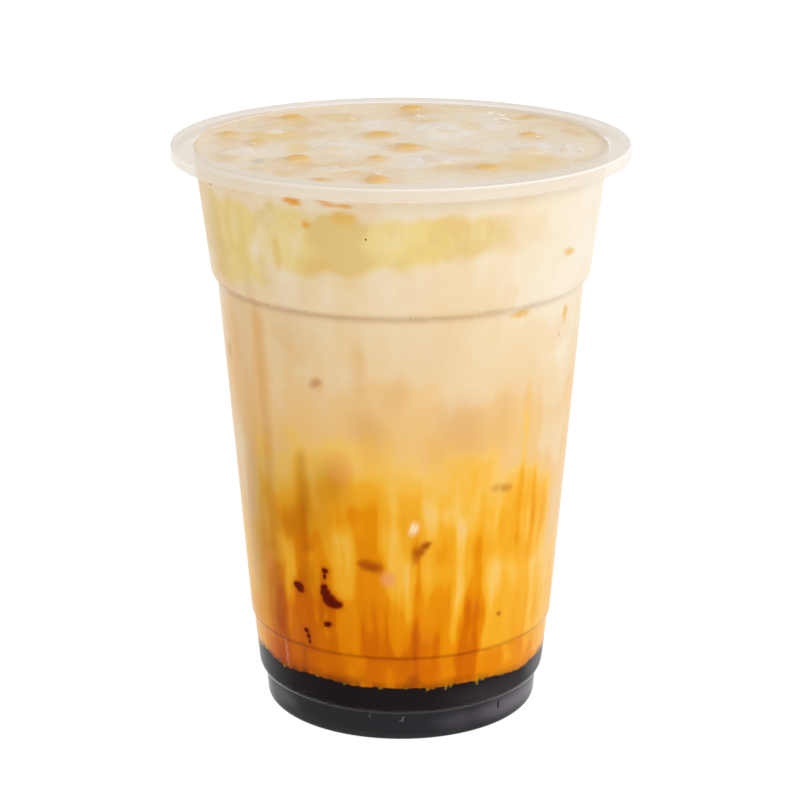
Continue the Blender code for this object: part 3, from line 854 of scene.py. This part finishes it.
def paint_wall(piece, verts):
    """Works out how amber, yellow and streaky the drink is at each point of its wall, and where shade is
    painted on it.
    """
    degrees, heights = on_wall(verts)
    placed = degrees + wobble(degrees, heights)
    steady = degrees + 0.3 * wobble(degrees, heights)
    amber = np.interp(heights, *zip(*AMBER_BY_HEIGHT))
    streaky = smooth(12, 22, heights) * (1 - smooth(44, 64, heights)) * 0.85 + 0.12
    lower = 1 - smooth(48, 74, heights)
    # More amber low on the left and high on the far left, less on the right
    amber = amber + lower * (0.09 * lobe(degrees, -40, 26) - 0.08 * lobe(degrees, 46, 24))
    amber = amber - 0.1 * lobe(degrees, 78, 48, 4) * smooth(70, 100, heights)
    amber = amber + 0.07 * lobe(degrees, -98, 44, 4) * smooth(60, 80, heights)
    # Painted light: the drink is paler towards its silhouettes
    lit_sides = smooth(53, 72, np.abs(degrees)) * (1 - smooth(84, 106, np.abs(degrees)))
    amber = amber - np.where(degrees < 0, *SIDE_LIGHT_FADES) * lit_sides * smooth(12, 15, heights) * lower
    for place, low, high, width, more in list(STREAKS) + back_streaks():
        across = steady if width < THIN else placed
        amber = amber + more * band(across, heights, place, low, high, width, STREAK_FADE)
    amber = np.maximum(amber, LEAST_AMBER * lower)
    shaded = np.zeros_like(amber)
    for *shape, strength in SHADES:
        patch = strength * smear(degrees, heights, *shape, *HAZE_FADE)
        shaded = 1 - (1 - shaded) * (1 - patch)
    yellow = np.zeros_like(amber)
    scallop = 0.5 * np.sin(np.radians(degrees) * 23) + 0.3 * np.sin(np.radians(degrees) * 41 + 1)
    for place, low, high, width, strength in YELLOWS:
        sideways = degrees + 2.2 * np.sin(heights * 0.55 + place)
        patch = strength * band(sideways, heights + scallop, place, low, high, width, 1.6, 3)
        yellow = np.maximum(yellow, patch)
    # Painted shade in the creases, darker on the left, away from the key light
    ledge_shade = crease_shade(heights, *LEDGE_CREASE) * (0.35 - 0.15 * np.sin(np.radians(degrees - 12)))
    step = crease_shade(heights, *STEP_CREASE) * (0.62 - 0.15 * np.sin(np.radians(degrees)))
    above_dark = heights - dark_surface(np.radians(degrees - 90), 1.0) / MM
    burnt = (1 - smooth(0.0, BURNT_EDGE, above_dark)) * (0.62 - 0.25 * np.sin(np.radians(degrees)))
    looks = {
        "amber": amber, "shaded": shaded, "yellow": yellow, "streaky": streaky, "burnt": burnt,
        "crease_shade": ledge_shade + step, "brownish_and_shade": strongest(degrees, heights, BROWN_HAZES_AND_SHADE, *HAZE_FADE),
    }
    for kind, spots in SMEARS.items():
        looks[kind] = strongest(degrees, heights, spots)
    for place, height, wide, tall, tilt in DROPS:
        if wide > SPECK:
            halo = smear(degrees, heights, place, height, wide + 1, tall + 1, tilt)
            looks["brown"] = np.maximum(looks["brown"], DROP_HALO * halo)
    for name, values in looks.items():
        store(piece.data, name, np.clip(values, 0, 1))


def crease_shade(heights, place, width):
    return np.exp(-((heights - place) / width) ** 2)


def in_oval(x, y, half_x, half_y, degrees):
    """How far along and aside a turned oval a point lies, in the oval's half sizes."""
    turn = math.radians(degrees)
    along = x * math.cos(turn) + y * math.sin(turn)
    aside = y * math.cos(turn) - x * math.sin(turn)
    return along / half_x, aside / half_y


def smear(degrees, heights, place, height, wide, tall, tilt, inside=0.5, outside=1.35):
    """1 inside a soft oval on the wall, fading at its edge."""
    across = np.radians(angle_between(degrees, place)) * outer_radius(height * MM) / MM
    up = heights - height
    across = across + 0.25 * np.sin(3.1 * up + place)
    return 1 - smooth(inside, outside, np.hypot(*in_oval(across, up, wide / 2, tall / 2, tilt)))


def strongest(degrees, heights, spots, *fade):
    """The strongest of a table's soft patches at each point of a wall."""
    total = np.zeros_like(heights)
    for *shape, strength in spots:
        total = np.maximum(total, strength * smear(degrees, heights, *shape, *fade))
    return total


def foot_light(points):
    """Strength of the painted highlights on the foot at each point, where its clear plastic would catch
    the light.
    """
    return strongest(*on_wall(points), FOOT_HIGHLIGHTS, *LIGHT_FADE)


def paint_surface(piece, verts):
    """Works out the patches of the drink's upper side."""
    x = verts[:, 0] / MM
    y = verts[:, 1] / MM
    for kind, patches in PATCHES.items():
        total = np.zeros(len(verts))
        for px, py, rx, ry, turn, strength in patches:
            along, aside = in_oval(x - px, y - py, rx, ry, turn)
            total = np.maximum(total, strength * np.exp(-(along ** 2 + aside ** 2) ** 1.3))
        if kind == "amber_top":
            for px, py, rx, ry, _ in BEADS:
                far = np.hypot((x - px) / (rx + HALO_REACH), (y - py) / (ry + HALO_REACH))
                total = np.maximum(total, BEAD_HALO * np.exp(-far ** 4))
        store(piece.data, kind, np.clip(total, 0, 1))


def paint_dark(piece, verts):
    """Works out the foot's painted highlights and the amber wisps on the dark layer."""
    degrees, heights = on_wall(verts)
    depth = dark_surface(np.arctan2(verts[:, 1], verts[:, 0]), 1.0) / MM - heights
    wisp = np.zeros_like(depth)
    for place, reach, width in WISPS:
        narrowing = width * np.clip(1 - depth / reach, 0.01, 1)
        across = np.abs(angle_between(degrees, place)) / narrowing
        wisp = np.maximum(wisp, (1 - smooth(0.6, 1.2, across)) * (depth < reach))
    store(piece.data, "foot", 1 - smooth(*FOOT_FADE, heights))
    store(piece.data, "light", foot_light(verts))
    store(piece.data, "wisp", wisp)


def make_drink():
    side = drink_material()
    top = top_material()
    inner = INNER_SHARES[::-1]
    dark, verts = layer_piece("dark_layer_look", floor_surface, dark_surface, inner, dark_material(),
                              row=DARK_ROW)
    paint_dark(dark, verts)
    finish_mesh(dark)
    hand_in(dark, "dark_drink", "dark_layer")

    amber, verts = layer_piece("amber_layer_look", dark_surface, amber_surface, inner, side,
                               row=AMBER_ROW)
    paint_wall(amber, verts)
    finish_mesh(amber)
    hand_in(amber, "amber_drink", "amber_layer")

    shares = tuple(1 - (ring + 1) / (SURFACE_RINGS + 1) for ring in range(SURFACE_RINGS))
    milk, verts = layer_piece("milk_layer_look", amber_surface, drink_surface, shares, side, top)
    paint_wall(milk, verts)
    paint_surface(milk, verts)
    finish_mesh(milk)
    hand_in(milk, "milk_drink", "milk_layer")


def cup_profile():
    """The cup's whole section, from the floor's middle round to the underside's middle."""
    outline = [tuple(point) for point in OUTLINE]
    inside = FOOT_RADIUS - WALL
    inner_foot = [(0, FLOOR_HEIGHT), (inside - HEEL, FLOOR_HEIGHT)]
    inner_foot += [(inside - 0.3 * HEEL, FLOOR_HEIGHT + 0.3 * HEEL), (inside, FLOOR_HEIGHT + HEEL)]
    inner_wall = [(radius - WALL, height) for radius, height in outline[1:-1]]
    for height in (DRINK_LEVEL - 1.0 * MM, DRINK_LEVEL, DRINK_LEVEL + 0.3 * MM):
        inner_wall.append((float(outer_radius(height)) - WALL, height))
    mouth = [(NECK_RADIUS - WALL, HEIGHT - LIP)]
    mouth += arc(mouth[0], (NECK_RADIUS - WALL + LIP, HEIGHT), 6, upright=True)
    edge = (RIM_RADIUS - RIM_EDGE, HEIGHT)
    flange = [(RIM_RADIUS - RIM_FLAT, HEIGHT), edge] + arc(edge, (RIM_RADIUS, HEIGHT - RIM_EDGE), 5)
    low = HEIGHT - SKIRT_DEPTH
    under = HEIGHT - FLANGE_THICKNESS
    behind = RIM_RADIUS - SKIRT_WALL
    flange += [(RIM_RADIUS, low + SKIRT_EASE), (RIM_RADIUS - SKIRT_EDGE, low)]
    flange += [(behind + SKIRT_EDGE, low), (behind, low + SKIRT_EASE), (behind - SKIRT_EDGE, under)]
    neck = [(NECK_RADIUS + NECK_EASE, under), (NECK_RADIUS, under - NECK_EASE)]
    foot = arc((FOOT_RADIUS, HEEL), (FOOT_RADIUS - HEEL, 0), 5, upright=True)
    foot += [(FOOT_RING_INNER, 0), (FOOT_RING_INNER - HEEL, RECESS_DEPTH), (0, RECESS_DEPTH)]
    return inner_foot + inner_wall + mouth + flange + neck + outline[::-1][1:] + foot


def refined(profile):
    """The same section with more points, closest together at the foot and the brim."""
    fine = [profile[0]]
    for start, end in zip(profile, profile[1:]):
        length = math.hypot(end[0] - start[0], end[1] - start[1])
        near_ends = end[1] < FOOT_HEIGHT + SHOULDER_RISE or start[1] > DRINK_LEVEL - 1 * MM
        pieces = max(1, int(length / (FINE_STEP if near_ends else COARSE_STEP)))
        for piece in range(1, pieces + 1):
            share = piece / pieces
            fine.append((start[0] + (end[0] - start[0]) * share, start[1] + (end[1] - start[1]) * share))
    return fine


def make_cup():
    fine = refined(cup_profile())
    angles = np.linspace(0, 2 * np.pi, CUP_COLUMNS, endpoint=False)
    inner = fine[1:-1]
    verts = [(0, 0, fine[0][1])]
    for radius, height in inner:
        verts += [(radius * math.cos(a), radius * math.sin(a), height) for a in angles]
    verts.append((0, 0, fine[-1][1]))
    cup = mesh_object("cup_look", verts, ring_faces(CUP_COLUMNS, len(inner)), cup_material())
    paint_cup(cup, np.array(verts))
    finish_mesh(cup, 50)
    hand_in(cup, "cup_clear", "cup")


def paint_cup(piece, points):
    """Works out how milky and dark the plastic is at each point, and where light is painted on it."""
    heights = points[:, 2] / MM
    radii = np.hypot(points[:, 0], points[:, 1]) / MM
    turns = np.arctan2(points[:, 0], -points[:, 1])
    top = HEIGHT / MM
    level = DRINK_LEVEL / MM
    foot_band = 1 - smooth(*FOOT_FADE, heights)
    foot_ring = (1 - smooth(*SHOULDER_FADE, heights)) * smooth(*RING_FADE, radii)
    on_top = smooth(top - 0.5, top - 0.2, heights)
    beyond_neck = smooth(*NECK_FADE, radii)
    bare_wall = smooth(level + 0.1, level + 0.6, heights)
    near_top = smooth(*SKIRT_FADE, heights)
    # Painted highlight at the flange's outer edge, stronger on the right
    edge_highlight = smooth(*EDGE_FADE, radii) * smooth(top - 0.45, top - 0.15, heights)
    edge_highlight = edge_highlight * (0.65 + 0.35 * np.sin(turns))
    # Painted highlight along the shoulder line, stronger on the right
    highlight_line = (1 - smooth(0.2, 0.6, np.abs(heights - SHOULDER_LINE))) * (0.6 + 0.3 * np.sin(turns))
    haze = CLEAR_HAZE + FOOT_HAZE * foot_band + RING_HAZE * foot_ring
    haze = haze + WALL_HAZE * bare_wall * (1 - on_top) * (1 - beyond_neck)
    haze = haze + beyond_neck * (FLANGE_HAZE * on_top + SKIRT_HAZE * (1 - on_top) * near_top)
    haze = np.clip(haze + EDGE_HAZE * edge_highlight + SHOULDER_HIGHLIGHT * highlight_line, 0, 1)
    # Painted light: makes up for the shade that partly milky plastic casts on the syrup behind it, and
    # carries the painted highlights
    behind = SYRUP_TONE + foot_light(points)
    through = (1 - haze) ** 2
    plastic = (behind * (1 - through) + SHOULDER_HIGHLIGHT * highlight_line) / haze - SYRUP_TONE
    light = np.where(heights < BAND_HEIGHT / MM, plastic * foot_band, edge_highlight)
    store(piece.data, "haze", haze)
    store(piece.data, "syrup", np.clip(foot_band, 0, 1))
    store(piece.data, "light", np.clip(light, 0, 1))


def float_piece(name, bm, place, material, film, slot, node):
    """Puts a shape into the drink, with the drink's film on it, parents it to the root body and hides the
    part that it replaces.
    """
    bmesh.ops.transform(bm, matrix=Matrix.Translation(place), verts=bm.verts)
    piece = bmesh_object(name, bm, material)
    heights = np.array([v.co.z for v in piece.data.vertices])
    store(piece.data, "film", 1 - smooth(WET_LEVEL, WET_LEVEL + film, heights))
    hand_in(piece, slot, node)


def ice_piece(index, material):
    x, y, half_x, half_y, turn, above = ICE[index]
    half_z = ICE_DEPTH / 2
    rng = random.Random(ICE_SEED + index)
    waves = [rng.uniform(0, 2 * math.pi) for _ in range(3)]
    sizes = (half_x * MM, half_y * MM, half_z)
    bm = bmesh.new()
    bmesh.ops.create_cube(bm, size=2)
    bmesh.ops.subdivide_edges(bm, edges=bm.edges, cuts=ICE_CUTS, use_grid_fill=True)
    for vert in bm.verts:
        size = sum(abs(value) ** ICE_SQUARENESS for value in vert.co) ** (1 / ICE_SQUARENESS)
        way = vert.co / size
        bump = 1 + ICE_WAVE * sum(math.sin(4 * way[axis] + waves[axis]) for axis in range(3))
        bump += 0.012 * math.sin(11 * way.x + waves[1]) * math.sin(9 * way.y + waves[2])
        vert.co = Vector([way[axis] * sizes[axis] * bump for axis in range(3)])
    bmesh.ops.transform(bm, matrix=Matrix.Rotation(math.radians(turn), 4, "Z"), verts=bm.verts)
    place = Vector((x * MM, y * MM, DRINK_LEVEL + above * MM - half_z))
    name = f"ice_lump_{index + 1:02d}"
    float_piece(name, bm, place, material, ICE_FILM, "ice", f"ice_{index + 1:02d}")


def bead_piece(index, material):
    x, y, half_x, half_y, above = BEADS[index]
    node = f"amber_bead_{index + 1:02d}"
    low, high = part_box(node)
    half_z = (high[2] - low[2]) / 2
    bm = bmesh.new()
    bmesh.ops.create_icosphere(bm, subdivisions=BEAD_DETAIL, radius=1)
    for vert in bm.verts:
        bump = 1 + 0.02 * math.sin(5 * vert.co.x + index) + 0.02 * math.sin(6 * vert.co.y + 2 * index)
        across = (vert.co.x * half_x * MM * bump, vert.co.y * half_y * MM * bump)
        vert.co = Vector((*across, vert.co.z * half_z))
    place = Vector((x * MM, y * MM, high[2] - half_z))
    name = f"jelly_bead_{index + 1:02d}"
    float_piece(name, bm, place, material, BEAD_FILM, "amber_jelly", node)


def drop_shape(place, height, wide, tall, tilt, seed, wall_at=drink_radius, rise_most=DROP_RISE):
    """A flat irregular drop that lies on the drink's wall."""
    rng = random.Random(seed)
    waves = [rng.uniform(0, 2 * math.pi) for _ in range(3)]
    verts = []
    faces = []
    lean = math.radians(tilt)
    for ring in range(DROP_RINGS + 1):
        share = ring / DROP_RINGS
        for step in range(DROP_STEPS):
            turn = 2 * math.pi * step / DROP_STEPS
            wander = 1 + 0.07 * math.sin(2 * turn + waves[0]) + 0.06 * math.sin(3 * turn + waves[1])
            wander += 0.03 * math.sin(5 * turn + waves[2])
            across = share * wander * wide / 2 * math.cos(turn)
            up = share * wander * tall / 2 * math.sin(turn)
            aside = across * math.cos(lean) - up * math.sin(lean)
            level = (height + across * math.sin(lean) + up * math.cos(lean)) * MM
            rise = rise_most * (1 - share ** 3) - DROP_SINK
            radius = float(wall_at(level)) + rise
            angle = math.radians(place) + aside * MM / radius
            verts.append((radius * math.sin(angle), -radius * math.cos(angle), level))
    for ring in range(DROP_RINGS):
        for step in range(DROP_STEPS):
            after = (step + 1) % DROP_STEPS
            here = ring * DROP_STEPS
            there = here + DROP_STEPS
            faces.append((here + step, here + after, there + after, there + step))
    return verts, faces


def joined(name, shapes, material):
    """One piece from several flat shapes."""
    verts = []
    faces = []
    for more_verts, more_faces in shapes:
        start = len(verts)
        verts += more_verts
        faces += [tuple(start + corner for corner in face) for face in more_faces]
    return mesh_object(name, verts, faces, material)


def make_drops():
    shapes = [drop_shape(*drop, index) for index, drop in enumerate(DROPS)]
    piece = joined("syrup_drops", shapes, drop_material())
    shares = [ring / DROP_RINGS for ring in range(DROP_RINGS + 1) for _ in range(DROP_STEPS)] * len(DROPS)
    store(piece.data, "edge", 0.8 * smooth(0.55, 1.0, shares))
    finish_mesh(piece)
    hand_in(piece, "amber_jelly")


def make_marks(name, marks, colour):
    """Small moulding marks on the outer side of the foot."""
    shapes = [drop_shape(*mark, index, outer_radius, MARK_RISE) for index, mark in enumerate(marks)]
    piece = joined(name, shapes, mark_material(name + "_look", colour))
    finish_mesh(piece)
    hand_in(piece, "cup_clear")


def make_glint_specks():
    """Small white specks on the wet ice and the drink that stand in for glints, as painted highlights,
    one piece.
    """
    bm = bmesh.new()
    for x, y, size in GLINT_SPECKS:
        share = math.hypot(x, y) * MM / float(drink_radius(DRINK_LEVEL))
        level = float(drink_surface(np.array([math.atan2(y, x)]), np.array([share]))[0])
        for ice_x, ice_y, half_x, half_y, _, above in ICE:
            if math.hypot((x - ice_x) / half_x, (y - ice_y) / half_y) < 0.95:
                level = DRINK_LEVEL + above * MM
        ball = bmesh.ops.create_icosphere(bm, subdivisions=3, radius=1)
        shape = Matrix.Diagonal((*(share * size * MM for share in GLINT_SPECK_SHAPE), 1))
        place = Matrix.Translation((x * MM, y * MM, level))
        bmesh.ops.transform(bm, matrix=place @ shape, verts=ball["verts"])
    piece = bmesh_object("surface_glint_specks", bm, glint_speck_material())
    hand_in(piece, "milk_drink")


def make_stage():
    size = SWEEP_SIZE
    verts = [(-size, -size, 0), (size, -size, 0), (size, size, 0), (-size, size, 0)]
    floor = mesh_object("floor", verts, [(0, 1, 2, 3)], floor_material())


def make_lights():
    world = bpy.data.worlds.new("studio")
    bpy.context.scene.world = world
    world.use_nodes = True
    back = world.node_tree.nodes["Background"]
    back.inputs["Color"].default_value = (1, 1, 1, 1)
    back.inputs["Strength"].default_value = WORLD_LIGHT
    data = bpy.data.lights.new("key", "AREA")
    data.shape = "RECTANGLE"
    data.size, data.size_y = KEY_SIZE
    data.energy = KEY_POWER
    light = linked("key", data)
    light.location = KEY_PLACE
    light.rotation_euler = (Vector(KEY_TARGET) - Vector(KEY_PLACE)).to_track_quat("-Z", "Y").to_euler()
    view = bpy.context.scene.view_settings
    view.view_transform = "Standard"
    view.look = "None"
    view.exposure = 0
    view.gamma = 1


def make_camera():
    data = bpy.data.cameras.new("camera")
    data.sensor_width = SENSOR
    data.lens = SENSOR * FOCAL_PIXELS / PICTURE_PIXELS
    camera = linked("camera", data)
    camera.location = CAMERA_PLACE
    camera.rotation_euler = (math.radians(90 - CAMERA_PITCH), 0, 0)
    bpy.context.scene.camera = camera


make_camera()
make_stage()
make_lights()
make_drink()
make_cup()
ice_look = ice_material()
for number in range(len(ICE)):
    ice_piece(number, ice_look)
bead_look = bead_material()
for number in range(len(BEADS)):
    bead_piece(number, bead_look)
make_drops()
make_marks("foot_notches", FOOT_NOTCHES, NOTCH_COLOUR)
make_marks("foot_ticks", FOOT_TICKS, TICK_COLOUR)
make_glint_specks()
